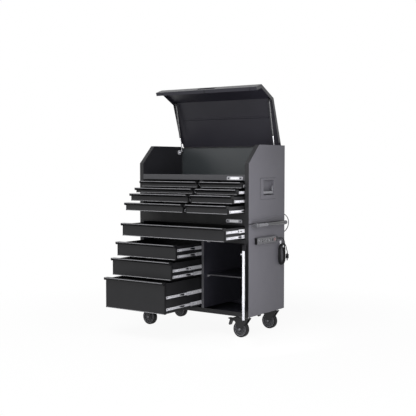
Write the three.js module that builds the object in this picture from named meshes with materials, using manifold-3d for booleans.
// A steel tool chest on a rolling cabinet, standing with its drawers, door and lid drawn open.
// The drawers run on telescopic ball-bearing slides, the lid is carried by two gas struts,
// and the cabinet rolls on two rigid and two swivel casters.
// Millimetres, +Z up, front towards -Y. The origin is the middle of the cabinet's underside.
import * as THREE from 'three';
import { mergeVertices } from 'three/addons/utils/BufferGeometryUtils.js';
import Module from 'manifold-3d';

const wasm = await Module();
wasm.setup();

// Carcass
const width = 1067;
const depth = 540;
const cabinetHeight = 711;
const chestHeight = 609;
const slantRun = 148;
const slantRise = 144;
const sideThickness = 36.5;
const sheet = 1.2;
const panDepth = 12;
const clearance = 0.3;
const overrun = 1;
const weld = 0.2;

// Cabinet frame
const cabinetRailHeight = 8.5;
const floorPanHeight = 35;
const deckHeight = 28;
const deckBottomShare = 0.79466;
const cabinetDividerLeft = 94;
const cabinetDividerWidth = 22;
const shelfBottom = 291;
const shelfThickness = 9;
const shelfSetback = 46;

// Chest frame
const chestRailHeight = 85;
const chestRailDepth = 30;
const chestDividerLeft = 81.5;
const chestDividerWidth = 21;
const hutchFloorShare = 0.54844;
const hutchRailHeight = 43;
const hutchRailDepth = 18;
const backTopGap = 10;
const beadRise = 37;
const beadHeight = 14;
const beadProud = 1.2;
const beadEndInset = 8;

// Drawer fronts and trays
const frontGap = 1.25;
const frontDepth = 16;
const frontReturn = 20;
const lipReach = 24;
const lipNoseRadius = 6;
const lipCoveRadius = 10;
const bottomKick = 3;
const bottomKickHeight = 8;
const trayTopDrop = 8;

// Telescopic ball-bearing slides
const slideThickness = 12.7;
const slideBackGap = 30;
const slideSetback = 18;
const channelReach = 9;
const channelCurl = 3;
const channelHalf = 17.65;
const lightChannelHalf = 13.5;
const middleHalf = 13.5;
const middleSetIn = 2.4;
const middleReach = 11;
const middleSetback = 78;
const innerHalf = 9.5;
const innerFlangeFrom = 5.5;
const ballRunLength = 110;

// Rows of drawers from the bottom up, as shares: the front's height and the gap over it as shares of
// the stack, the slides' heights as shares of the front's, and the opening as a share of the slide
const chestRowShares = [
  { row: 4, height: 0.248996, gap: 0.052209, slides: [0.241935], open: 0.4625 },
  { row: 3, height: 0.236948, gap: 0.024096, slides: [0.254237], open: 0.327083 },
  { row: 2, height: 0.156627, gap: 0.040161, slides: [0.410256], open: 0.191667 },
  { row: 1, height: 0.176707, gap: 0.052209, slides: [0.363636], open: 0.0625 },
];
const cabinetRowShares = [
  { row: 'lower', height: 0.449057, gap: 0.018868, slides: [0.138655, 0.512605], open: 0.972917 },
  { row: 'middle', height: 0.254717, gap: 0.024528, slides: [0.148148, 0.496296], open: 0.804167 },
  { row: 'upper', height: 0.209434, gap: 0.020755, slides: [0.198198, 0.63964], open: 0.685417 },
];
const fullRowShares = [{ row: 'full', height: 0.922374, gap: 0.031964, slides: [0.207921, 0.643564], open: 0.552083 }];

// Door
const doorThickness = 17;
const doorTopGap = 6;
const doorBottom = 45;
const doorGap = 1.5;
const doorOpenAngle = THREE.MathUtils.degToRad(122.6);
const doorPinSetOut = 8;
const doorPinRadius = 2;
const doorKnuckleRadius = 3.5;
const doorLeafWidth = 22;
const doorKnuckles = 7;
const catchSetIn = 24;
const catchDrop = 23;
const catchWidth = 18;
const catchHeight = 26;
const catchDepth = 12;
const catchPlate = 1.5;

// Lid and its piano hinge
const lidGap = 2.5;
const lidOpenAngle = THREE.MathUtils.degToRad(72);
const lidSkirtGap = 6;
const lidReturn = 28;
const lidFlange = 28;
const lidFlangeSetback = 28;
const hingePinBehind = 5;
const hingeKnuckleRadius = 4;
const hingePinRadius = 1.8;
const hingeInset = 14;
const hingeKnuckles = 11;
const hingeLeafHeight = 26;
const fingerPanFrom = -88;
const fingerPanTo = 83;
const fingerPanHeight = 46;
const fingerPanDepth = 8;
const fingerPanRise = 20;
const lidRibFromHinge = 255;
const lidRibWidth = 18;
const lidRibDepth = 4;
const lidRibEndInset = 70;

// Gas struts
const strutInset = 31;
const strutFootSetIn = 47;
const strutFootDrop = 49;
const strutHeadBehindBend = 2.2;
const strutHeadDrop = 21.9;
const strutCylinderRadius = 9;
const strutRodRadius = 4;
const strutSocketRadius = 8;
const strutSocketWidth = 12;
const strutRodLength = 120;
const strutCylinderTail = 14;
const strutStudRadius = 4;
const strutPlate = 3;
const strutPlateHalf = 18;

// Casters
const casterHeight = 169;
const casterInset = 56.5;
const casterEndInset = 57;
const casterTrail = 45;
const casterPlate = 3;
const casterPad = 1.5;
const casterPlateHalfX = 47;
const casterPlateHalfY = 38;
const wheelRadius = 63.5;
const wheelWidth = 38;
const wheelBore = 6.3;
const wheelHubRadius = 17;
const wheelHubWidth = 40;
const wheelRimRadius = 47;
const wheelWebWidth = 16;
const wheelShoulder = 6;
const axleRadius = 6;
const axleHeadRadius = 10;
const axleHead = 5;
const forkSheet = 3;
const forkGap = 1.5;
const forkFootRadius = 17;
const forkTopHalf = 34;
const racewayRadius = 29;
const racewayHeight = 9;
const crownDishRadius = 31;
const crownDish = 4;
const crownPlate = 4;
const crownTailReach = 58;
const kingpinRadius = 7;
const kingpinNutRadius = 11;
const kingpinNut = 4;
const pedalPivotReach = 84;
const pedalPivotDrop = 38;
const pedalWidth = 34;
const pedalToeReach = 158;
const pedalToeDrop = 27;
const pedalToeThickness = 5;
const pedalFootReach = 149;
const pedalFootDrop = 78;
const pedalFootThickness = 8;
const pedalCrotch = 20;
const pedalPinRadius = 4;
const pedalBossRadius = 9;

// Push handle on the right side
const pushTubeRadius = 13;
const pushStandOff = 38;
const pushEndInset = 42;
const pushDrop = 7;
const pushBracketRadius = 16;
const pushBracketLength = 34;
const pushFoot = 6;
const pushFootHalf = 24;
const pushNeckHalf = 11;

// Recessed carrying handles on the chest's sides
const cupPlateLength = 230;
const cupPlateSetIn = 145;
const cupPlateHeight = 164;
const cupPlateBottom = 186;
const cupPlateThickness = 2;
const cupMarginFront = 43;
const cupMarginBack = 27;
const cupMarginBottom = 30;
const cupMarginTop = 14;
const cupDepth = 30;
const cupWall = 1.5;
const bailPinSetIn = 9;
const bailPinDrop = 51;
const bailPinRadius = 3;
const bailArm = 8;
const bailThickness = 8;
const bailDrop = 57;
const bailGripHeight = 19;
const bailGripThickness = 12;
const bailGap = 2;

// Power strip on the cabinet's right side
const stripLength = 310;
const stripSetIn = 145;
const stripDrop = 108;
const stripHeight = 50;
const stripDepth = 25;
const stripChamfer = 4;
const stripCapLength = 27;
const stripCapNarrowing = 5;
const stripFaceMargin = 6;
const stripFaceDepth = 2;
const socketCount = 6;
const socketPitch = 38;
const socketSize = 24;
const socketDepth = 3;
const socketEndInset = 34;
const rockerLength = 26;
const rockerHeight = 20;
const rockerFromBack = 7;
const rockerWell = 9;
const rockerGap = 1;
const rockerTilt = THREE.MathUtils.degToRad(8);
const rockerRise = 2;
const rockerPinRadius = 2;

// Mains cord, its hank, hook and plug
const cordDiameter = 7;
const cordGlandLength = 30;
const cordGlandRadius = 7;
const cordGlandTip = 4.6;
const hankLayers = 2;
const hankLoopsInLayer = 3;
const hankPitch = 7.8;
const hankInnerRadius = 26;
const hankRun = 76;
const hankSetIn = 65;
const hankDrop = 263;
const hankStandOff = 13;
const hankBendSteps = 8;
const hankRunSteps = 4;
const hankSides = 6;
const cordSides = 8;
const cordSteps = 12;
const cordBendRadius = 30;
const plugLength = 34;
const plugWidth = 26;
const plugDepth = 17;
const plugNeck = 16;
const bladeLength = 17;
const bladeWidth = 6.5;
const bladeThickness = 1.6;
const bladeSpread = 6.4;
const hookPlate = 3;
const hookPlateWidth = 22;
const hookPlateHeight = 52;
const hookArm = 5;
const hookWidth = 12;
const hookTip = 12;
const hookReach = 17;

// Short lead between the chest and the cabinet at the back
const leadDiameter = 6.5;
const leadInset = 13.5;
const leadRise = 54;
const leadDrop = 91;
const leadBossRadius = 9;
const leadBoss = 6;
const leadSteps = 18;

// Planes that everything is placed from
const halfWidth = width / 2;
const front = -depth / 2;
const back = depth / 2;
const opening = halfWidth - sideThickness;
const innerBack = back - panDepth;
const chestTop = cabinetHeight + chestHeight;
const bendY = front + slantRun;
const slantFoot = chestTop - slantRise;
const slideFront = front + slideSetback;
const slideLength = innerBack - slideBackGap - slideFront;
const hutchFloor = cabinetHeight + chestHeight * hutchFloorShare;
const deckBottom = cabinetHeight * deckBottomShare;

// Solids and their joins
function solidOf(geometry) {
  const bare = geometry.index ? geometry.toNonIndexed() : geometry;
  bare.deleteAttribute('normal');
  bare.deleteAttribute('uv');
  const merged = mergeVertices(bare);
  const mesh = new wasm.Mesh({
    numProp: 3,
    vertProperties: new Float32Array(merged.attributes.position.array),
    triVerts: new Uint32Array(merged.index.array),
  });
  return new wasm.Manifold(mesh);
}

function geometryOf(solid) {
  const mesh = solid.getMesh();
  const geometry = new THREE.BufferGeometry();
  geometry.setAttribute('position', new THREE.BufferAttribute(mesh.vertProperties, mesh.numProp));
  geometry.setIndex(new THREE.BufferAttribute(mesh.triVerts, 1));
  const flat = geometry.toNonIndexed();
  flat.computeVertexNormals();
  return flat;
}

function join(...solids) {
  return solids.flat().reduce((whole, piece) => whole.add(piece));
}

function cut(solid, ...tools) {
  return tools.flat().reduce((rest, tool) => rest.subtract(tool), solid);
}

// Block between two limits on each axis, in either order
function block(x, y, z) {
  const size = [x, y, z].map((pair) => Math.abs(pair[1] - pair[0]));
  const centre = [x, y, z].map((pair) => (pair[0] + pair[1]) / 2);
  return solidOf(new THREE.BoxGeometry(...size).translate(...centre));
}

const axisFrames = {
  x: [[0, 1, 0], [0, 0, 1], [1, 0, 0]],
  y: [[0, 0, 1], [1, 0, 0], [0, 1, 0]],
  z: [[1, 0, 0], [0, 1, 0], [0, 0, 1]],
};

function turnedTo(geometry, axis) {
  const [u, v, w] = axisFrames[axis].map((vector) => new THREE.Vector3(...vector));
  return geometry.applyMatrix4(new THREE.Matrix4().makeBasis(u, v, w));
}

// Outline extruded along an axis: points are [y, z] for x, [z, x] for y and [x, y] for z
function extruded(axis, outline, limits) {
  const shape = new THREE.Shape(outline.map((point) => new THREE.Vector2(...point)));
  const from = Math.min(...limits);
  const length = Math.max(...limits) - from;
  const geometry = new THREE.ExtrudeGeometry(shape, { depth: length, bevelEnabled: false });
  return solidOf(turnedTo(geometry.translate(0, 0, from), axis));
}

// Round bar along an axis, about a centre given in that axis's outline order
function bar(axis, centre, radius, limits, sides = 16) {
  const outline = arc(centre, radius, 0, 2 * Math.PI, sides).slice(0, sides);
  return extruded(axis, outline, limits);
}

function arc(centre, radius, from, to, steps) {
  return Array.from({ length: steps + 1 }, (_, step) => {
    const angle = from + (to - from) * step / steps;
    return [centre[0] + radius * Math.cos(angle), centre[1] + radius * Math.sin(angle)];
  });
}

// Closed outline of a bent sheet: a path and its copy set off to the left by the thickness
function bentSheet(path, thickness) {
  const normals = path.slice(1).map((point, index) => {
    const run = [point[0] - path[index][0], point[1] - path[index][1]];
    const length = Math.hypot(...run);
    return [-run[1] / length, run[0] / length];
  });
  const offset = path.map((point, index) => {
    const before = normals[Math.max(index - 1, 0)];
    const after = normals[Math.min(index, normals.length - 1)];
    const share = thickness / (1 + before[0] * after[0] + before[1] * after[1]);
    return [point[0] + (before[0] + after[0]) * share, point[1] + (before[1] + after[1]) * share];
  });
  return [...path, ...offset.reverse()];
}

// Turned piece from radius and height pairs, about +Y
function turned(profile, sides) {
  const points = profile.map(([radius, height]) => new THREE.Vector2(radius, height));
  return new THREE.LatheGeometry(points, sides);
}

// Tube of a round section along a list of points, with flat ends square to the path
function tube(points, diameter, sides) {
  const centres = points.map((point) => new THREE.Vector3(...point));
  const tangents = centres.map((centre, index) => {
    const before = centres[Math.max(index - 1, 0)];
    const after = centres[Math.min(index + 1, centres.length - 1)];
    return after.clone().sub(before).normalize();
  });
  const normal = new THREE.Vector3(1, 0, 0);
  const positions = [];
  centres.forEach((centre, index) => {
    normal.addScaledVector(tangents[index], -normal.dot(tangents[index])).normalize();
    const side = tangents[index].clone().cross(normal);
    arc([0, 0], diameter / 2, 0, 2 * Math.PI, sides).slice(0, sides).forEach(([a, b]) => {
      positions.push(...centre.clone().addScaledVector(normal, a).addScaledVector(side, b).toArray());
    });
  });
  const indices = [];
  for (let ring = 0; ring + 1 < centres.length; ring += 1) {
    for (let side = 0; side < sides; side += 1) {
      const here = ring * sides + side;
      const next = ring * sides + (side + 1) % sides;
      indices.push(here, next, next + sides, here, next + sides, here + sides);
    }
  }
  const last = (centres.length - 1) * sides;
  for (let side = 1; side + 1 < sides; side += 1) {
    indices.push(0, side + 1, side, last, last + side, last + side + 1);
  }
  const geometry = new THREE.BufferGeometry();
  geometry.setAttribute('position', new THREE.Float32BufferAttribute(positions, 3));
  geometry.setIndex(indices);
  return geometry;
}

// Finishes, as colour, roughness and metalness
const finishes = {
  paint: [0x3f3f42, 0.55, 0.0],
  sidePaint: [0x5e5d63, 0.5, 0.0],
  liner: [0x26262b, 0.6, 0.0],
  zinc: [0xc9c9d0, 0.35, 1.0],
  chrome: [0xe2e2e6, 0.15, 1.0],
  black: [0x17171a, 0.5, 0.0],
  tyre: [0x26262a, 0.8, 0.0],
  cord: [0x141416, 0.6, 0.0],
  red: [0xa3201f, 0.35, 0.0],
};

const cabinet = new THREE.Group();

function node(name, geometry, finish, parent = cabinet) {
  const [color, roughness, metalness] = finishes[finish];
  const material = new THREE.MeshStandardMaterial({ color, roughness, metalness });
  const mesh = new THREE.Mesh(geometry, material);
  mesh.name = name;
  parent.add(mesh);
  return mesh;
}

// Slides: outlines in the distance from the wall and the height about the slide's middle
function channelOutline(half) {
  const path = [
    [channelReach, half - channelCurl], [channelReach, half], [0, half],
    [0, -half], [channelReach, -half], [channelReach, channelCurl - half],
  ];
  return bentSheet(path, sheet);
}

function middleOutline() {
  const path = [
    [middleReach, middleHalf], [middleSetIn, middleHalf],
    [middleSetIn, -middleHalf], [middleReach, -middleHalf],
  ];
  return bentSheet(path, sheet);
}

function innerOutline() {
  const path = [
    [innerFlangeFrom, -innerHalf], [slideThickness, -innerHalf],
    [slideThickness, innerHalf], [innerFlangeFrom, innerHalf],
  ];
  return bentSheet(path, sheet);
}

// Member of a slide on the wall at wallX, with its depth towards side
function slideMember(outline, wallX, side, height, limits) {
  const placed = outline.map(([reach, rise]) => [height + rise, wallX + side * reach]);
  return extruded('y', placed, limits);
}

// Rows of balls in their cages, as strips on a member's two flanges
function ballRuns(wallX, side, height, reach, heights, limits) {
  return [-1, 1].map((up) => block(
    reach.map((distance) => wallX + side * distance),
    limits,
    heights.map((rise) => height + up * rise),
  ));
}

function outerMember(wallX, side, height, half) {
  const limits = [slideFront, slideFront + slideLength];
  const seat = block([wallX - side * weld, wallX + side * sheet], limits, [height - half, height + half]);
  return join(slideMember(channelOutline(half), wallX, side, height, limits), seat);
}

function innerMember(wallX, side, height, raceHalf) {
  const limits = [front + frontDepth - weld, slideFront + slideLength];
  const outline = slideMember(innerOutline(), wallX, side, height, limits);
  const tray = wallX + side * slideThickness;
  const seat = block([tray - side * sheet, tray + side * weld], limits, [height - innerHalf, height + innerHalf]);
  const reach = [innerFlangeFrom, channelReach - sheet - clearance];
  const heights = [innerHalf - weld, raceHalf - sheet - clearance];
  const runs = ballRuns(wallX, side, height, reach, heights, [limits[1] - ballRunLength, limits[1]]);
  return join(outline, seat, runs);
}

function middleMember(wallX, side, height) {
  const limits = [slideFront + middleSetback, slideFront + slideLength];
  const outline = slideMember(middleOutline(), wallX, side, height, limits);
  const reach = [middleSetIn + sheet, channelReach - sheet - clearance];
  const heights = [middleHalf - weld, channelHalf - sheet - clearance];
  const runs = ballRuns(wallX, side, height, reach, heights, [limits[1] - ballRunLength, limits[1]]);
  return join(outline, runs);
}

// Section of a drawer's front: kicked-out bottom edge, face, and a coved lip with a round nose
function frontPath(height) {
  const noseBottom = height - 2 * lipNoseRadius;
  const cove = arc([lipCoveRadius, noseBottom - lipCoveRadius], lipCoveRadius, Math.PI, Math.PI / 2, 3);
  const nose = arc([lipReach - lipNoseRadius, height - lipNoseRadius], lipNoseRadius, -Math.PI / 2, Math.PI / 2, 4);
  return [
    [-frontDepth, 0], [bottomKick, 0], [0, bottomKickHeight], ...cove, ...nose,
    [-frontDepth, height], [-frontDepth, height - frontReturn],
  ];
}

// One drawer in its closed place: left and right are the walls of its bay
function drawerSolid(left, right, drawer, raceHalf) {
  const { bottom } = drawer;
  const outline = bentSheet(frontPath(drawer.height), sheet);
  const section = outline.map(([out, rise]) => [front - out, bottom + rise]);
  const face = extruded('x', section, [left + frontGap, right - frontGap]);
  const trayX = [left + slideThickness, right - slideThickness];
  const trayY = [front + frontDepth - sheet, slideFront + slideLength];
  const trayZ = [bottom, bottom + drawer.height - trayTopDrop];
  const tray = cut(
    block(trayX, trayY, trayZ),
    block(
      [trayX[0] + sheet, trayX[1] - sheet],
      [trayY[0] + sheet, trayY[1] - sheet],
      [trayZ[0] + sheet, trayZ[1] + overrun],
    ),
  );
  const runners = drawer.slides.flatMap((rise) => [
    innerMember(left, 1, bottom + rise, raceHalf),
    innerMember(right, -1, bottom + rise, raceHalf),
  ]);
  return join(face, tray, runners);
}

// Rows of a stack between two heights, filled down from its top
function rowsOf(shares, bottom, top) {
  const stack = top - bottom;
  let over = top;
  const rows = [...shares].reverse().map((share) => {
    const height = stack * share.height;
    over -= height + stack * share.gap;
    return {
      name: share.row,
      height,
      bottom: over,
      slides: share.slides.map((slide) => height * slide),
      open: slideLength * share.open,
    };
  });
  return rows.reverse();
}

const chestDivider = [chestDividerLeft, chestDividerLeft + chestDividerWidth];
const cabinetDivider = [cabinetDividerLeft, cabinetDividerLeft + cabinetDividerWidth];
const chestRows = rowsOf(chestRowShares, cabinetHeight + chestRailHeight, hutchFloor);
const cabinetRows = rowsOf(cabinetRowShares, floorPanHeight, deckBottom);
const [fullRow] = rowsOf(fullRowShares, deckBottom + deckHeight, cabinetHeight - cabinetRailHeight);

function outerMembers(rows, wallX, side, half) {
  return rows.flatMap((row) => row.slides.map((rise) => outerMember(wallX, side, row.bottom + rise, half)));
}

// Drawers, pulled out by their opening, and the middle members that follow at half their travel
function placedOut(name, solid, finish, out) {
  const drawn = new THREE.Group();
  drawn.position.y = -out;
  cabinet.add(drawn);
  node(name, geometryOf(solid), finish, drawn);
}

chestRows.forEach((row) => {
  const bays = { left: [-opening, chestDivider[0]], right: [chestDivider[1], opening] };
  Object.entries(bays).forEach(([name, [left, right]]) => {
    const solid = drawerSolid(left, right, row, lightChannelHalf);
    placedOut(`chest_drawer_${name}_${row.name}`, solid, 'paint', row.open);
  });
});

function slidingDrawer(row, right) {
  placedOut(`cabinet_drawer_${row.name}`, drawerSolid(-opening, right, row, middleHalf), 'paint', row.open);
  const member = middleMember(right, -1, row.bottom + row.slides[0]);
  placedOut(`slide_middle_${row.name}`, member, 'zinc', row.open / 2);
}

cabinetRows.forEach((row) => slidingDrawer(row, cabinetDivider[0]));
slidingDrawer(fullRow, opening);

// Cabinet sides: hollow walls, open underneath, with the fixed members of the slides
function hollowWall(outline, x, cavity) {
  return cut(extruded('x', outline, x), extruded('x', cavity, [x[0] + sheet, x[1] - sheet]));
}

function cabinetSide(side) {
  const x = [side * opening, side * halfWidth].sort((a, b) => a - b);
  const outline = [[front, 0], [back, 0], [back, cabinetHeight], [front, cabinetHeight]];
  const inset = [
    [front + sheet, -overrun], [back - sheet, -overrun],
    [back - sheet, cabinetHeight - sheet], [front + sheet, cabinetHeight - sheet],
  ];
  const rows = side < 0 ? cabinetRows : [];
  return join(
    hollowWall(outline, x, inset),
    outerMembers([fullRow, ...rows], side * opening, -side, channelHalf),
  );
}

// Places of the short lead's two ends
const leadX = halfWidth - leadInset;
const leadTop = cabinetHeight + leadRise;
const leadBottom = cabinetHeight - leadDrop;

// Boss round the short lead's end on the back of a side wall
function leadBossSolid(height) {
  return bar('y', [height, leadX], leadBossRadius, [back - weld, back + leadBoss], 12);
}

// Places of the hank's loops, which the hook passes through
const hankX = halfWidth + hankStandOff;
const hankCentreY = back - hankSetIn;
const hankCentreZ = cabinetHeight - hankDrop;
const hankOuterRadius = hankInnerRadius + hankLoopsInLayer * hankPitch;
const hankStepsInLoop = 2 * (hankBendSteps + hankRunSteps);
const hankLoops = hankLayers * hankLoopsInLayer;
const hankTopZ = hankCentreZ + hankRun / 2;

// Welded hook that carries the hank: plate, arm and upturned tip
function cordHook() {
  const armTop = hankTopZ + hankInnerRadius - cordDiameter / 2 - clearance;
  const armY = [hankCentreY - hookWidth / 2, hankCentreY + hookWidth / 2];
  return [
    block(
      [halfWidth - weld, halfWidth + hookPlate],
      [hankCentreY - hookPlateWidth / 2, hankCentreY + hookPlateWidth / 2],
      [armTop - hookArm, armTop - hookArm + hookPlateHeight],
    ),
    block([halfWidth, hankX + hookReach], armY, [armTop - hookArm, armTop]),
    block([hankX + hookReach - hookArm, hankX + hookReach], armY, [armTop - weld, armTop + hookTip]),
  ];
}

const rightSide = join(cabinetSide(1), leadBossSolid(leadBottom), cordHook());
node('cabinet_left_side', geometryOf(cabinetSide(-1)), 'sidePaint');
node('cabinet_right_side', geometryOf(rightSide), 'sidePaint');

// Back panels: pans with their rims forwards
function backPan(bottom, top) {
  const pan = block([-opening, opening], [innerBack, back], [bottom, top]);
  const hollow = block(
    [sheet - opening, opening - sheet],
    [innerBack - overrun, back - sheet],
    [bottom + sheet, top - sheet],
  );
  return cut(pan, hollow);
}

node('cabinet_back', geometryOf(backPan(0, cabinetHeight)), 'paint');

// Floor pan with the swivel casters' plates, raceways and kingpins on its underside
const casterX = halfWidth - casterInset;
const casterY = back - casterEndInset;
const crownTop = -casterPlate - racewayHeight - clearance - crownDish;

function swivelPlate(y) {
  const plate = block(
    [casterX - casterPlateHalfX, casterX + casterPlateHalfX],
    [y - casterPlateHalfY, y + casterPlateHalfY],
    [-casterPlate, 0],
  );
  const seam = block(
    [casterX - casterPlateHalfX, opening],
    [y - casterPlateHalfY, y + casterPlateHalfY],
    [-weld, weld],
  );
  const raceway = bar('z', [casterX, y], racewayRadius, [-casterPlate - racewayHeight, weld - casterPlate], 24);
  const nutTop = crownTop - crownPlate - clearance;
  const pin = bar('z', [casterX, y], kingpinRadius, [nutTop - kingpinNut, -casterPlate], 16);
  const nut = bar('z', [casterX, y], kingpinNutRadius, [nutTop - kingpinNut, nutTop], 6);
  return [plate, seam, raceway, pin, nut];
}

const floorPan = cut(
  block([-opening, opening], [front, innerBack], [0, floorPanHeight]),
  block(
    [sheet - opening, opening - sheet],
    [front + sheet, innerBack - sheet],
    [sheet, floorPanHeight + overrun],
  ),
);
// Pad welded under the floor over a rigid caster's plate
function rigidPad(y) {
  return block(
    [-opening, casterPlateHalfX - casterX],
    [y - casterPlateHalfY, y + casterPlateHalfY],
    [-casterPad, weld],
  );
}

const casterSeats = [-casterY, casterY].flatMap((y) => [...swivelPlate(y), rigidPad(y)]);
node('cabinet_floor', geometryOf(join(floorPan, casterSeats)), 'paint');

// Divider of the cabinet, a hollow wall with the fixed slide members on its drawer side
function dividerWall(x, z) {
  const outline = [[front, z[0]], [innerBack, z[0]], [innerBack, z[1]], [front, z[1]]];
  const inset = [
    [front + sheet, z[0] - overrun], [innerBack - sheet, z[0] - overrun],
    [innerBack - sheet, z[1] - sheet], [front + sheet, z[1] - sheet],
  ];
  return hollowWall(outline, x, inset);
}

node('cabinet_divider', geometryOf(join(
  dividerWall(cabinetDivider, [floorPanHeight, deckBottom]),
  ...outerMembers(cabinetRows, cabinetDivider[0], -1, channelHalf),
)), 'liner');

// Pans turned down, as a deck, a top or a shelf
function turnedPan(x, y, z) {
  const hollow = block([x[0] + sheet, x[1] - sheet], [y[0] + sheet, y[1] - sheet], [z[0] - overrun, z[1] - sheet]);
  return cut(block(x, y, z), hollow);
}

const across = [-opening, opening];
const deckPan = turnedPan(across, [front, innerBack], [deckBottom, deckBottom + deckHeight]);
node('cabinet_mid_deck', geometryOf(deckPan), 'paint');
const topPan = turnedPan(across, [front, innerBack], [cabinetHeight - cabinetRailHeight, cabinetHeight]);
node('cabinet_top', geometryOf(topPan), 'paint');
const shelfPan = turnedPan(
  [cabinetDivider[1], opening],
  [front + shelfSetback, innerBack],
  [shelfBottom, shelfBottom + shelfThickness],
);
node('compartment_shelf', geometryOf(shelfPan), 'liner');

// Chest sides: hollow walls with a slanted front corner, an opening for the carrying handle,
// a bracket for the gas strut's foot, and the fixed members of the slides
const strutPlaneX = opening - strutInset;
const strutFoot = [back - strutFootSetIn, chestTop - strutFootDrop];
const cupBottom = cabinetHeight + cupPlateBottom + cupMarginBottom;
const cupTop = cabinetHeight + cupPlateBottom + cupPlateHeight - cupMarginTop;
const cupPlateBack = back - cupPlateSetIn;
const cupPlateFront = cupPlateBack - cupPlateLength;
const cupY = [cupPlateFront + cupMarginFront, cupPlateBack - cupMarginBack];

function strutBracket(side) {
  const wall = side * opening;
  const tip = side * (strutPlaneX + strutSocketWidth / 2 + clearance);
  return [
    block(
      [wall + side * weld, wall - side * strutPlate],
      [strutFoot[0] - strutPlateHalf, strutFoot[0] + strutPlateHalf],
      [strutFoot[1] - strutPlateHalf, strutFoot[1] + strutPlateHalf],
    ),
    bar('x', strutFoot, strutStudRadius, [wall, tip], 12),
  ];
}

// Bead pressed out of a chest side near its foot
function sideBead(side) {
  const wall = side * halfWidth;
  const z = [cabinetHeight + beadRise, cabinetHeight + beadRise + beadHeight];
  const outline = [
    [z[0], wall - side * weld], [z[0], wall], [z[0] + beadHeight / 4, wall + side * beadProud],
    [z[1] - beadHeight / 4, wall + side * beadProud], [z[1], wall], [z[1], wall - side * weld],
  ];
  return extruded('y', outline, [front + beadEndInset, back - beadEndInset]);
}

function chestSide(side) {
  const x = [side * opening, side * halfWidth].sort((a, b) => a - b);
  const slope = Math.atan2(slantRise, slantRun);
  const slantIn = sheet * Math.tan(slope / 2);
  const outline = [
    [front, cabinetHeight], [back, cabinetHeight], [back, chestTop], [bendY, chestTop], [front, slantFoot],
  ];
  const inset = [
    [front + sheet, cabinetHeight - overrun], [back - sheet, cabinetHeight - overrun],
    [back - sheet, chestTop - sheet], [bendY + slantIn, chestTop - sheet],
    [front + sheet, slantFoot - sheet * Math.tan((Math.PI / 2 - slope) / 2)],
  ];
  const cup = block(
    [side * (halfWidth - 2 * sheet), side * (halfWidth + overrun)],
    [cupY[0] - clearance, cupY[1] + clearance],
    [cupBottom - clearance, cupTop + clearance],
  );
  return join(
    cut(hollowWall(outline, x, inset), cup),
    sideBead(side),
    strutBracket(side),
    ...outerMembers(chestRows, side * opening, -side, lightChannelHalf),
  );
}

node('chest_left_side', geometryOf(chestSide(-1)), 'sidePaint');
node('chest_right_side', geometryOf(join(chestSide(1), leadBossSolid(leadTop))), 'sidePaint');
node('chest_back', geometryOf(backPan(cabinetHeight, chestTop - backTopGap)), 'paint');

// Chest base: floor sheet with a channel-shaped front rail
const basePath = [
  [innerBack, cabinetHeight], [front, cabinetHeight], [front, cabinetHeight + chestRailHeight],
  [front + chestRailDepth, cabinetHeight + chestRailHeight],
  [front + chestRailDepth, cabinetHeight + chestRailHeight - panDepth],
];
const baseOutline = bentSheet([...basePath].reverse(), sheet);
node('chest_base', geometryOf(extruded('x', baseOutline, across)), 'paint');

// Hutch floor with its front rail folded up and over
const hutchPath = [
  [innerBack, hutchFloor], [front, hutchFloor], [front, hutchFloor + hutchRailHeight],
  [front + hutchRailDepth, hutchFloor + hutchRailHeight],
  [front + hutchRailDepth, hutchFloor + hutchRailHeight - panDepth],
];
const hutchOutline = bentSheet([...hutchPath].reverse(), sheet);
node('hutch_tray', geometryOf(extruded('x', hutchOutline, across)), 'paint');

node('chest_divider', geometryOf(join(
  dividerWall(chestDivider, [cabinetHeight + chestRailHeight, hutchFloor]),
  ...outerMembers(chestRows, chestDivider[0], -1, lightChannelHalf),
  ...outerMembers(chestRows, chestDivider[1], 1, lightChannelHalf),
)), 'liner');

// Stretches of every second knuckle on a hinge's pin
function knuckleRuns(from, length, count, first) {
  const pitch = length / count;
  const picked = Array.from({ length: count }, (_, index) => index).filter((index) => index % 2 === first);
  return picked.map((index) => [from + index * pitch, from + (index + 1) * pitch]);
}

// Knuckles of one leaf, set apart from the other's by the running clearance
function knuckles(axis, centre, radius, from, length, count, first) {
  return knuckleRuns(from, length, count, first).map(([start, end]) => (
    bar(axis, centre, radius, [start + clearance, end - clearance], 8)
  ));
}

// Gaps in a leaf for the other leaf's knuckles
function knuckleGaps(axis, outline, from, length, count, first) {
  return knuckleRuns(from, length, count, first).map(([start, end]) => (
    extruded(axis, outline, [start - clearance, end + clearance])
  ));
}

// Piano hinge along the back edge: the fixed leaf, its knuckles and the pin
const lidPin = [back + hingePinBehind, chestTop - hingeKnuckleRadius];
const hingeHalf = opening - hingeInset;
const hingeLength = 2 * hingeHalf;
const lidKnuckleClear = hingeKnuckleRadius + clearance;
const leafPlate = block(
  [-hingeHalf, hingeHalf],
  [back, back + sheet],
  [lidPin[1] - hingeLeafHeight, lidPin[1]],
);
const leafGapOutline = [
  [back - overrun, lidPin[1] - lidKnuckleClear], [back + 2 * sheet, lidPin[1] - lidKnuckleClear],
  [back + 2 * sheet, lidPin[1] + overrun], [back - overrun, lidPin[1] + overrun],
];
node('lid_hinge', geometryOf(join(
  cut(leafPlate, knuckleGaps('x', leafGapOutline, -hingeHalf, hingeLength, hingeKnuckles, 1)),
  knuckles('x', lidPin, hingeKnuckleRadius, -hingeHalf, hingeLength, hingeKnuckles, 0),
  bar('x', lidPin, hingePinRadius, [clearance - hingeHalf, hingeHalf - clearance], 8),
)), 'zinc');

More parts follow.
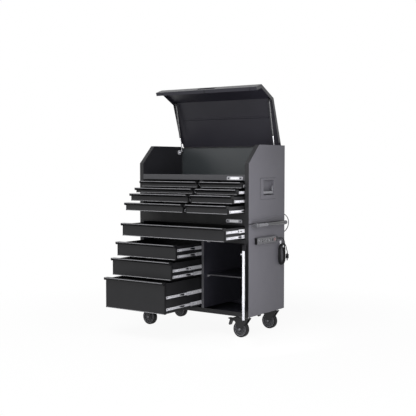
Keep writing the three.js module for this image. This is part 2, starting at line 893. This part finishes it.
// Lid, modelled closed about its hinge pin and then swung open
const lidHalf = opening - lidGap;
const skirtBottom = hutchFloor + hutchRailHeight + lidSkirtGap;
const lidPath = [
  [lidPin[0], chestTop], [bendY, chestTop], [front, slantFoot],
  [front, skirtBottom], [front + lidReturn, skirtBottom],
];

function lidCheek(side) {
  const path = [
    [back - lidFlangeSetback, chestTop], [bendY, chestTop], [front, slantFoot],
    [front, skirtBottom],
  ];
  return extruded('x', bentSheet(path, lidFlange), [side * (lidHalf - sheet), side * lidHalf]);
}

function fingerPan() {
  const z = [skirtBottom + fingerPanRise, skirtBottom + fingerPanRise + fingerPanHeight];
  const x = [fingerPanFrom, fingerPanTo];
  return {
    pan: block(x, [front, front + fingerPanDepth], z),
    hollow: block(
      [x[0] + sheet, x[1] - sheet],
      [front - overrun, front + fingerPanDepth - sheet],
      [z[0] + sheet, z[1] - sheet],
    ),
  };
}

const strutHead = [bendY + strutHeadBehindBend, chestTop - strutHeadDrop];

function strutStud(side) {
  const tip = side * (strutPlaneX + strutSocketWidth / 2 + clearance);
  return bar('x', strutHead, strutStudRadius, [side * lidHalf, tip], 12);
}

// Stiffening rib across the inside of the lid
const lidRibY = lidPin[0] - lidRibFromHinge;
const lidRib = extruded('x', [
  [lidRibY, chestTop - sheet + weld], [lidRibY, chestTop - sheet],
  [lidRibY + lidRibWidth / 4, chestTop - sheet - lidRibDepth],
  [lidRibY + 3 * lidRibWidth / 4, chestTop - sheet - lidRibDepth],
  [lidRibY + lidRibWidth, chestTop - sheet], [lidRibY + lidRibWidth, chestTop - sheet + weld],
], [lidRibEndInset - lidHalf, lidHalf - lidRibEndInset]);

const lidFinger = fingerPan();
const lidBoreClear = hingePinRadius + clearance;
const hingeStrip = [
  [lidPin[0] - lidKnuckleClear, lidPin[1] - lidKnuckleClear],
  [lidPin[0] + lidKnuckleClear, lidPin[1] - lidKnuckleClear],
  [lidPin[0] + lidKnuckleClear, chestTop + overrun],
  [lidPin[0] - lidKnuckleClear, chestTop + overrun],
];
const lidShell = cut(
  join(
    extruded('x', bentSheet(lidPath, sheet), [-lidHalf, lidHalf]),
    lidCheek(-1),
    lidCheek(1),
    lidFinger.pan,
    lidRib,
  ),
  lidFinger.hollow,
  knuckleGaps('x', hingeStrip, -hingeHalf, hingeLength, hingeKnuckles, 0),
);
const lidSolid = cut(
  join(
    lidShell,
    knuckles('x', lidPin, hingeKnuckleRadius, -hingeHalf, hingeLength, hingeKnuckles, 1),
    strutStud(-1),
    strutStud(1),
  ),
  bar('x', lidPin, lidBoreClear, [-opening, opening], 8),
);
const lidTurn = new THREE.Group();
lidTurn.position.set(0, ...lidPin);
lidTurn.rotation.x = -lidOpenAngle;
cabinet.add(lidTurn);
node('lid', geometryOf(lidSolid).translate(0, -lidPin[0], -lidPin[1]), 'paint', lidTurn);

// Gas struts: the rod turns on the chest's bracket and the cylinder reaches the lid's stud
const headArm = [strutHead[0] - lidPin[0], strutHead[1] - lidPin[1]];
const strutHeadOpen = [
  lidPin[0] + headArm[0] * Math.cos(lidOpenAngle) + headArm[1] * Math.sin(lidOpenAngle),
  lidPin[1] - headArm[0] * Math.sin(lidOpenAngle) + headArm[1] * Math.cos(lidOpenAngle),
];
const strutReach = [strutHeadOpen[0] - strutFoot[0], strutHeadOpen[1] - strutFoot[1]];
const strutLength = Math.hypot(...strutReach);
const strutLean = Math.atan2(-strutReach[0], strutReach[1]);

function strutRod(side) {
  const socket = [side * (strutPlaneX - strutSocketWidth / 2), side * (strutPlaneX + strutSocketWidth / 2)];
  const end = strutRodLength + strutSocketRadius + strutCylinderTail;
  return join(
    bar('x', [0, 0], strutSocketRadius, socket, 16),
    bar('z', [side * strutPlaneX, 0], strutRodRadius, [0, end], 12),
  );
}

function strutCylinder(side) {
  const bottom = strutRodLength + strutSocketRadius;
  const top = strutLength - strutSocketRadius;
  const body = bar('z', [side * strutPlaneX, 0], strutCylinderRadius, [bottom, top - strutSocketRadius], 16);
  const neck = bar('z', [side * strutPlaneX, 0], strutRodRadius, [top - 2 * strutSocketRadius, strutLength], 12);
  const socket = bar(
    'x',
    [0, strutLength],
    strutSocketRadius,
    [side * (strutPlaneX - strutSocketWidth / 2), side * (strutPlaneX + strutSocketWidth / 2)],
    16,
  );
  const boreEnd = strutLength - 2 * strutSocketRadius - strutCylinderTail;
  const bore = bar(
    'z',
    [side * strutPlaneX, 0],
    strutRodRadius + clearance,
    [bottom - overrun, boreEnd],
    12,
  );
  return cut(join(body, neck, socket), bore);
}

[['left', -1], ['right', 1]].forEach(([name, side]) => {
  const strut = new THREE.Group();
  strut.position.set(0, ...strutFoot);
  strut.rotation.x = strutLean;
  cabinet.add(strut);
  node(`strut_rod_${name}`, geometryOf(strutRod(side)), 'chrome', strut);
  node(`strut_cylinder_${name}`, geometryOf(strutCylinder(side)), 'black', strut);
});

// Casters: wheels, rigid forks on the left, swivel forks with brake pedals on the right
const axleZ = wheelRadius - casterHeight;

function wheelSolid() {
  const half = wheelWidth / 2;
  const hub = wheelHubWidth / 2;
  const web = wheelWebWidth / 2;
  const shoulder = wheelRadius - wheelShoulder;
  const profile = [
    [wheelBore, -hub], [wheelHubRadius, -hub], [wheelHubRadius, -web], [wheelRimRadius, -web],
    [wheelRimRadius, -half], [shoulder, -half], [wheelRadius, -half / 2], [wheelRadius, half / 2],
    [shoulder, half], [wheelRimRadius, half], [wheelRimRadius, web], [wheelHubRadius, web],
    [wheelHubRadius, hub], [wheelBore, hub], [wheelBore, -hub],
  ];
  return geometryOf(solidOf(turned(profile, 24)));
}

// Leg of a fork in outline: wide at the top and round about the axle
function forkLegOutline(topZ, topLeft, topRight, axleX) {
  return [
    [topZ, topLeft],
    ...arc([axleZ, axleX], forkFootRadius, -Math.PI / 2, -3 * Math.PI / 2, 8),
    [topZ, topRight],
  ];
}

function forkLegs(y, topZ, topLeft, topRight, axleX) {
  const inner = wheelHubWidth / 2 + forkGap;
  return [-1, 1].map((side) => extruded(
    'y',
    forkLegOutline(topZ, topLeft, topRight, axleX),
    [y + side * inner, y + side * (inner + forkSheet)],
  ));
}

function axleSolids(y, axleX) {
  const outer = wheelHubWidth / 2 + forkGap + forkSheet;
  return [
    bar('y', [axleZ, axleX], axleRadius, [y - outer, y + outer], 14),
    bar('y', [axleZ, axleX], axleHeadRadius, [y - outer - axleHead, y - outer + weld], 6),
    bar('y', [axleZ, axleX], axleHeadRadius, [y + outer - weld, y + outer + axleHead], 6),
  ];
}

function rigidFork(y) {
  const plate = block(
    [-casterX - casterPlateHalfX, casterPlateHalfX - casterX],
    [y - casterPlateHalfY, y + casterPlateHalfY],
    [-casterPad - casterPlate, -casterPad],
  );
  const legs = forkLegs(y, weld - casterPad - casterPlate, -casterX - forkTopHalf, forkTopHalf - casterX, -casterX);
  return join(plate, legs, axleSolids(y, -casterX));
}

const swivelAxleX = casterX - casterTrail;
const crownBottom = crownTop - crownPlate;
const forkOuter = wheelHubWidth / 2 + forkGap + forkSheet;
const pedalPivot = [-pedalPivotDrop, casterX - pedalPivotReach];

function swivelFork(y) {
  const dish = bar('z', [casterX, y], crownDishRadius, [crownTop - weld, crownTop + crownDish], 24);
  const crown = block(
    [casterX - casterTrail - crownTailReach, casterX + crownDishRadius],
    [y - forkOuter, y + forkOuter],
    [crownBottom, crownTop],
  );
  const legs = forkLegs(
    y,
    crownBottom + weld,
    casterX - casterTrail - crownTailReach,
    casterX + crownDishRadius,
    swivelAxleX,
  );
  const kingpinBore = bar(
    'z',
    [casterX, y],
    kingpinRadius + clearance,
    [crownBottom - overrun, crownTop + crownDish + overrun],
    16,
  );
  const pin = bar('y', pedalPivot, pedalPinRadius, [y - forkOuter, y + forkOuter], 12);
  return cut(join(dish, crown, legs, axleSolids(y, swivelAxleX), pin), kingpinBore);
}

// Brake pedal: a rocker with a toe to lock it above and a toe to free it below
function brakePedal(y) {
  const toe = casterX - pedalToeReach;
  const foot = casterX - pedalFootReach;
  const [pivotZ] = pedalPivot;
  const outline = [
    [-pedalToeDrop, toe], [-pedalToeDrop - pedalToeThickness, toe],
    [-pedalToeDrop - 2 * pedalToeThickness, foot + pedalFootThickness],
    [-pedalFootDrop, foot - pedalFootThickness / 2],
    [-pedalFootDrop - pedalFootThickness / 2, foot + pedalFootThickness],
    [pivotZ - pedalBossRadius, foot + pedalCrotch],
    ...arc(pedalPivot, pedalBossRadius, Math.PI, 0, 6),
    [-pedalToeDrop, foot + pedalCrotch],
  ];
  const half = pedalWidth / 2;
  const bore = bar('y', pedalPivot, pedalPinRadius + clearance, [y - forkOuter, y + forkOuter], 12);
  return cut(extruded('y', outline, [y - half, y + half]), bore);
}

[['front', -casterY], ['rear', casterY]].forEach(([name, y]) => {
  const placeWheel = (label, x) => {
    const wheel = node(label, wheelSolid(), 'tyre');
    wheel.position.set(x, y, axleZ);
  };
  node(`rigid_fork_${name}`, geometryOf(rigidFork(y)), 'black');
  placeWheel(`wheel_left_${name}`, -casterX);
  node(`swivel_fork_${name}`, geometryOf(swivelFork(y)), 'black');
  placeWheel(`wheel_right_${name}`, swivelAxleX);
  node(`brake_pedal_${name}`, geometryOf(brakePedal(y)), 'black');
});

// Door: a hollow leaf, modelled closed and swung about its pin, with hinge knuckles and a catch
const doorPin = [opening + doorPinSetOut, front - clearance - doorKnuckleRadius];
const doorZ = [doorBottom, deckBottom - doorTopGap];
const doorHeight = doorZ[1] - doorZ[0];
const doorX = [cabinetDivider[1] + doorGap, opening - doorGap];
const doorY = [front, front + doorThickness];
const doorKnuckleClear = doorKnuckleRadius + clearance;
const doorKnuckleRoom = [
  [doorPin[0] - doorKnuckleClear, front - 2 * doorKnuckleClear],
  [doorPin[0] + doorKnuckleClear, front - 2 * doorKnuckleClear],
  [doorPin[0] + doorKnuckleClear, front + overrun], [doorPin[0] - doorKnuckleClear, front + overrun],
];

function doorSolid() {
  const leaf = cut(
    block(doorX, doorY, doorZ),
    block(
      [doorX[0] + sheet, doorX[1] - sheet],
      [doorY[0] + sheet, doorY[1] - sheet],
      [doorZ[0] - overrun, doorZ[1] - sheet],
    ),
  );
  const plateY = [front - clearance - sheet, front - clearance];
  const hingePlate = join(
    block([doorX[1] - doorLeafWidth, doorPin[0]], plateY, doorZ),
    block([doorX[1] - doorLeafWidth, doorX[1] - sheet], [plateY[0], front + weld], doorZ),
  );
  const gaps = knuckleGaps('z', doorKnuckleRoom, doorZ[0], doorHeight, doorKnuckles, 0);
  const rolls = knuckles('z', doorPin, doorKnuckleRadius, doorZ[0], doorHeight, doorKnuckles, 1);
  const bore = bar('z', doorPin, doorPinRadius + clearance, [doorZ[0] - overrun, doorZ[1] + overrun], 8);
  return cut(join(cut(join(leaf, hingePlate), gaps), rolls), bore);
}

function fixedDoorLeaf() {
  const plate = block([doorPin[0], doorPin[0] + doorLeafWidth], [front - sheet, front], doorZ);
  return join(
    cut(plate, knuckleGaps('z', doorKnuckleRoom, doorZ[0], doorHeight, doorKnuckles, 1)),
    knuckles('z', doorPin, doorKnuckleRadius, doorZ[0], doorHeight, doorKnuckles, 0),
    bar('z', doorPin, doorPinRadius, [doorZ[0] + clearance, doorZ[1] - clearance], 8),
  );
}

function catchSolid() {
  const x = doorX[0] + catchSetIn;
  const top = doorZ[1] - catchDrop;
  const y = doorY[1] + clearance;
  const plate = block([x, x + catchWidth], [y, y + catchPlate], [top - catchHeight, top]);
  const tongue = block(
    [x + catchWidth / 2 - catchPlate, x + catchWidth / 2 + catchPlate],
    [y, y + catchDepth],
    [top - 2 * catchHeight / 3, top - catchHeight / 3],
  );
  return join(plate, tongue);
}

const doorTurn = new THREE.Group();
doorTurn.position.set(...doorPin, 0);
doorTurn.rotation.z = doorOpenAngle;
cabinet.add(doorTurn);
node('door_panel', geometryOf(doorSolid()).translate(-doorPin[0], -doorPin[1], 0), 'paint', doorTurn);
node('door_catch', geometryOf(catchSolid()).translate(-doorPin[0], -doorPin[1], 0), 'zinc', doorTurn);
node('door_hinge', geometryOf(fixedDoorLeaf()), 'zinc');

// Push handle: a tube held by two cast brackets
const pushX = halfWidth + pushStandOff;
const pushHeight = cabinetHeight - pushDrop;
const pushHalfLength = back - pushEndInset;

const pushBrackets = [-1, 1].flatMap((side) => {
  const limits = [side * (pushHalfLength - pushBracketLength), side * pushHalfLength];
  const foot = block(
    [halfWidth, halfWidth + pushFoot],
    limits,
    [pushHeight - pushFootHalf, cabinetHeight],
  );
  const neck = block(
    [halfWidth + pushFoot - weld, pushX],
    limits,
    [pushHeight - pushNeckHalf, pushHeight + pushNeckHalf],
  );
  const ring = bar('y', [pushHeight, pushX], pushBracketRadius, limits, 20);
  return [foot, neck, ring];
});
const pushTube = bar(
  'y',
  [pushHeight, pushX],
  pushTubeRadius,
  [pushBracketLength / 2 - pushHalfLength, pushHalfLength - pushBracketLength / 2],
  20,
);
node('push_handle', geometryOf(join(pushTube, pushBrackets)), 'chrome');

// Carrying handles: a pressed cup in a plate, and a bail on two pins
function handleCup(side) {
  const skin = side * halfWidth;
  const inner = side * (halfWidth - cupDepth);
  const plate = block(
    [skin, skin + side * cupPlateThickness],
    [cupPlateFront, cupPlateBack],
    [cabinetHeight + cupPlateBottom, cabinetHeight + cupPlateBottom + cupPlateHeight],
  );
  const cup = block([inner, skin + side * cupPlateThickness], cupY, [cupBottom, cupTop]);
  const hollow = block(
    [inner + side * cupWall, skin + side * (cupPlateThickness + overrun)],
    [cupY[0] + cupWall, cupY[1] - cupWall],
    [cupBottom + cupWall, cupTop - cupWall],
  );
  const bore = bar(
    'y',
    [cupTop - bailPinDrop, side * (halfWidth - bailPinSetIn)],
    bailPinRadius + clearance,
    [cupY[0] - overrun, cupY[1] + overrun],
    12,
  );
  return cut(join(plate, cup), hollow, bore);
}

function handleBail(side) {
  const pinX = side * (halfWidth - bailPinSetIn);
  const pinZ = cupTop - bailPinDrop;
  const ends = [cupY[0] + cupWall + bailGap, cupY[1] - cupWall - bailGap];
  const grip = block(
    [pinX - bailGripThickness / 2, pinX + bailGripThickness / 2],
    ends,
    [pinZ - bailDrop, pinZ - bailDrop + bailGripHeight],
  );
  const arms = [[ends[0], ends[0] + bailArm], [ends[1] - bailArm, ends[1]]].map((limits) => extruded(
    'y',
    [
      [pinZ - bailDrop, pinX - bailThickness / 2],
      ...arc([pinZ, pinX], bailThickness / 2 + bailPinRadius / 2, -Math.PI / 2, Math.PI / 2, 6),
      [pinZ - bailDrop, pinX + bailThickness / 2],
    ],
    limits,
  ));
  const pins = [[cupY[0] + clearance, ends[0] + overrun], [ends[1] - overrun, cupY[1] - clearance]].map(
    (limits) => bar('y', [pinZ, pinX], bailPinRadius, limits, 12),
  );
  return join(grip, arms, pins);
}

[['left', -1], ['right', 1]].forEach(([name, side]) => {
  node(`side_handle_cup_${name}`, geometryOf(handleCup(side)), 'black');
  node(`side_handle_bail_${name}`, geometryOf(handleBail(side)), 'black');
});

// Power strip: a chamfered housing with sockets, a rocker switch and a cord gland
const stripBack = back - stripSetIn;
const stripFront = stripBack - stripLength;
const stripBottom = cabinetHeight - stripDrop - stripHeight;
const stripMiddle = stripBottom + stripHeight / 2;
const stripCrown = halfWidth + stripDepth;
const stripFaceX = stripCrown - stripFaceDepth;
const rockerY = stripBack - stripCapLength - rockerFromBack - rockerLength / 2;
const rockerAxisX = stripFaceX - rockerWell / 2;
const glandX = halfWidth + (stripDepth - stripCapNarrowing) / 2;

function stripHousing() {
  const top = stripBottom + stripHeight;
  const outline = [
    [stripBottom, halfWidth], [stripBottom, stripCrown - stripChamfer], [stripBottom + stripChamfer, stripCrown],
    [top - stripChamfer, stripCrown], [top, stripCrown - stripChamfer], [top, halfWidth],
  ];
  const capOutline = outline.map(([z, x]) => [
    z + stripCapNarrowing * Math.sign(stripMiddle - z),
    Math.min(x, stripCrown - stripCapNarrowing),
  ]);
  const gland = turned([
    [0, -overrun], [cordGlandRadius, -overrun], [cordGlandRadius, cordGlandLength / 4],
    [cordGlandTip, cordGlandLength], [0, cordGlandLength],
  ], 12);
  return join(
    extruded('y', outline, [stripFront, stripBack - stripCapLength]),
    extruded('y', capOutline, [stripBack - stripCapLength - weld, stripBack]),
    solidOf(gland.translate(glandX, stripBack, stripMiddle)),
  );
}

function stripRecesses() {
  const outside = stripCrown + overrun;
  const face = block(
    [stripFaceX, outside],
    [stripFront + stripFaceMargin, stripBack - stripCapLength - stripFaceMargin / 2],
    [stripBottom + stripFaceMargin, stripBottom + stripHeight - stripFaceMargin],
  );
  const sockets = Array.from({ length: socketCount }, (_, index) => {
    const y = stripFront + socketEndInset + index * socketPitch;
    return bar('x', [y, stripMiddle], socketSize / 2, [stripFaceX - socketDepth, outside], 8);
  });
  const well = block(
    [stripFaceX - rockerWell, outside],
    [rockerY - rockerLength / 2 - clearance, rockerY + rockerLength / 2 + clearance],
    [stripMiddle - rockerHeight / 2 - clearance, stripMiddle + rockerHeight / 2 + clearance],
  );
  return [face, ...sockets, well];
}

const rockerPins = bar(
  'z',
  [rockerAxisX, rockerY],
  rockerPinRadius,
  [stripMiddle - rockerHeight / 2 - overrun, stripMiddle + rockerHeight / 2 + overrun],
  8,
);
node('power_strip_housing', geometryOf(join(cut(stripHousing(), stripRecesses()), rockerPins)), 'black');

// Rocker: a key that is low at its middle, turning on the housing's pin
function rockerSolid() {
  const half = rockerLength / 2 - rockerGap;
  const lift = rockerWell / 2;
  const outline = [
    [-lift / 2 - clearance, -half / 2], [lift, -half], [lift + rockerRise, -half], [lift, 0],
    [lift + rockerRise, half], [lift, half], [-lift / 2 - clearance, half / 2],
  ];
  const z = [stripMiddle - rockerHeight / 2, stripMiddle + rockerHeight / 2];
  return cut(
    extruded('z', outline, z),
    bar('z', [0, 0], rockerPinRadius + clearance, [z[0] - overrun, z[1] + overrun], 8),
  );
}

const rockerTurn = new THREE.Group();
rockerTurn.position.set(rockerAxisX, rockerY, 0);
rockerTurn.rotation.z = rockerTilt;
cabinet.add(rockerTurn);
node('power_rocker', geometryOf(rockerSolid()), 'red', rockerTurn);

// Free cord of a round section swept along a curve
function sweptCord(curve, diameter, steps) {
  const section = arc([0, 0], diameter / 2, 0, 2 * Math.PI, cordSides).slice(0, cordSides);
  const shape = new THREE.Shape(section.map((point) => new THREE.Vector2(...point)));
  return new THREE.ExtrudeGeometry(shape, { steps, extrudePath: curve, bevelEnabled: false });
}

// The hank: flat loops spiralling in on the inner layer and out again on the outer one
function hankPoint(step) {
  const inLoop = step % hankStepsInLoop;
  const loops = step / hankStepsInLoop;
  const climb = Math.min(Math.max(step - hankLoopsInLayer * hankStepsInLoop, 0) / hankRunSteps, 1);
  const inwards = Math.min(loops, hankLoopsInLayer);
  const turning = hankLoopsInLayer + hankRunSteps / hankStepsInLoop;
  const outwards = Math.max(loops - turning, 0) / (hankLoops - turning) * hankLoopsInLayer;
  const radius = hankOuterRadius - (inwards - outwards) * hankPitch;
  const lastBend = hankLoops * hankStepsInLoop - hankBendSteps;
  const parting = Math.max(step - lastBend, 0) / hankBendSteps * hankPitch;
  const x = hankX + climb * hankPitch + parting;
  const half = hankStepsInLoop / 2;
  const back = inLoop < half ? 1 : -1;
  const along = inLoop % half;
  if (along <= hankRunSteps) {
    return [x, hankCentreY + back * radius, hankCentreZ + back * hankRun * (0.5 - along / hankRunSteps)];
  }
  const angle = Math.PI * (along - hankRunSteps) / hankBendSteps;
  return [
    x,
    hankCentreY + back * radius * Math.cos(angle),
    hankCentreZ - back * (hankRun / 2 + radius * Math.sin(angle)),
  ];
}

const hankPoints = Array.from({ length: hankLoops * hankStepsInLoop + 1 }, (_, step) => hankPoint(step));
const hankStart = hankPoints[0];
const hankEnd = hankPoints[hankPoints.length - 1];
hankPoints.unshift([hankStart[0], hankStart[1], hankStart[2] + cordDiameter]);
hankPoints.push([hankEnd[0] + hankPitch, hankEnd[1], hankEnd[2] - hankRun / hankRunSteps]);
hankPoints.push([hankEnd[0] + hankPitch, hankEnd[1], hankEnd[2] - hankRun / hankRunSteps - cordDiameter]);

// Least distance of the hank from itself, measured between points further apart along it
function leastGap(points, diameter) {
  const spots = points.slice(1).flatMap((point, index) => [0, 0.25, 0.5, 0.75].map((share) => (
    new THREE.Vector3(...points[index]).lerp(new THREE.Vector3(...point), share)
  )));
  const runs = [0];
  spots.slice(1).forEach((spot, index) => runs.push(runs[index] + spot.distanceTo(spots[index])));
  let least = Infinity;
  spots.forEach((spot, index) => {
    for (let other = index + 1; other < spots.length; other += 1) {
      if (runs[other] - runs[index] > 4 * diameter) {
        least = Math.min(least, spot.distanceTo(spots[other]) - diameter);
      }
    }
  });
  return { least, length: runs[runs.length - 1] };
}

const hankMeasure = leastGap(hankPoints, cordDiameter);
console.log(`hank: ${hankMeasure.length.toFixed(0)} mm long, least gap ${hankMeasure.least.toFixed(2)} mm`);
node('power_cord_hank', tube(hankPoints, cordDiameter, hankSides), 'cord');

// The cord from the gland to the hank: straight back, down a bend and straight down
const cordStart = new THREE.Vector3(glandX, stripBack + cordGlandLength + clearance, stripMiddle);
const cordEnd = new THREE.Vector3(hankStart[0], hankStart[1], hankPoints[0][2] + clearance);
const cordRoute = new THREE.CurvePath();
cordRoute.add(new THREE.LineCurve3(cordStart, cordStart.clone().setY(cordStart.y + cordDiameter)));
cordRoute.add(new THREE.CubicBezierCurve3(
  cordStart.clone().setY(cordStart.y + cordDiameter),
  new THREE.Vector3(cordStart.x, cordEnd.y - cordBendRadius, stripMiddle),
  new THREE.Vector3(cordEnd.x, cordEnd.y, stripMiddle),
  cordEnd.clone().setZ(cordEnd.z + cordDiameter),
));
cordRoute.add(new THREE.LineCurve3(cordEnd.clone().setZ(cordEnd.z + cordDiameter), cordEnd));
node('power_cord_tube', sweptCord(cordRoute, cordDiameter, cordSteps), 'cord');

// Plug on the cord's end: tapered neck, body and three blades
const plugTop = hankPoints[hankPoints.length - 1];
const plugZ = plugTop[2] - clearance;
const plugBodyTop = plugZ - plugNeck;
const plugBodyBottom = plugBodyTop - plugLength;
const plugNeckSolid = turned([
  [0, 0], [cordGlandRadius, 0], [cordGlandTip, plugNeck], [0, plugNeck],
], 12);
const plugBlades = [-1, 1].map((side) => block(
  [plugTop[0] - bladeWidth / 2, plugTop[0] + bladeWidth / 2],
  [
    plugTop[1] + side * bladeSpread - bladeThickness / 2,
    plugTop[1] + side * bladeSpread + bladeThickness / 2,
  ],
  [plugBodyBottom - bladeLength, plugBodyBottom + weld],
));
node('power_plug', geometryOf(join(
  block(
    [plugTop[0] - plugDepth / 2, plugTop[0] + plugDepth / 2],
    [plugTop[1] - plugWidth / 2, plugTop[1] + plugWidth / 2],
    [plugBodyBottom, plugBodyTop + weld],
  ),
  solidOf(plugNeckSolid.rotateX(Math.PI / 2).translate(plugTop[0], plugTop[1], plugBodyTop)),
  plugBlades,
)), 'cord');

// Short lead looping out behind, from the chest down to the cabinet
const leadBack = back + leadBoss + clearance;
const leadPoints = [
  [0, 54], [6.5, 54], [40, 41], [72, 16], [84, -19], [70, -54], [38, -79], [6.5, -91], [0, -91],
].map(([out, rise]) => new THREE.Vector3(leadX, leadBack + out, cabinetHeight + rise));
const leadRoute = new THREE.CatmullRomCurve3(leadPoints);
node('rear_lead', sweptCord(leadRoute, leadDiameter, leadSteps), 'cord');

export default cabinet;
